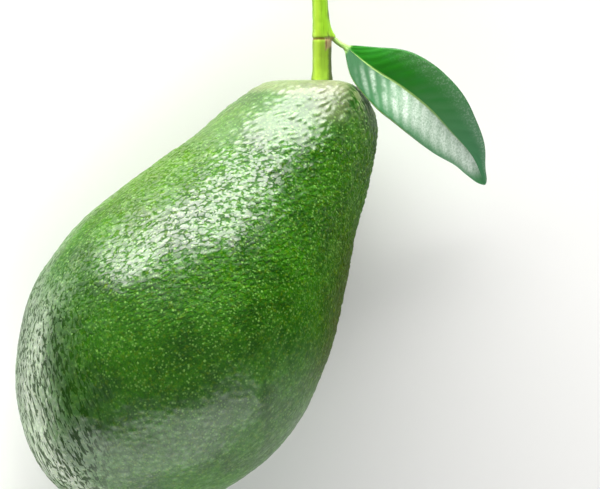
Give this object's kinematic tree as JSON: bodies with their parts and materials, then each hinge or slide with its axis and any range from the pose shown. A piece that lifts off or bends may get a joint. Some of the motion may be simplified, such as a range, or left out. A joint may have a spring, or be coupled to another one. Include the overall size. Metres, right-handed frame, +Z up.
{
  "type": "avocado",
  "caption": "Whole pear-shaped avocado lying on its side, with a short green stalk and a leaf, for food displays and kitchen scenes.",
  "frame": {"origin": "middle of the small flat spot that the fruit rests on, on the surface", "axes": "+Z up, +X along the fruit from the blossom end towards the neck, and the leaf on the -Y side"},
  "size_m": [0.1359, 0.0757, 0.0704],
  "materials": {
    "skin": "satin",
    "stalk": "satin",
    "leaf": "satin"
  },
  "bodies": {
    "root": {"fruit": "skin", "stalk": "stalk", "leaf": "leaf"}
  },
  "joints": []
}
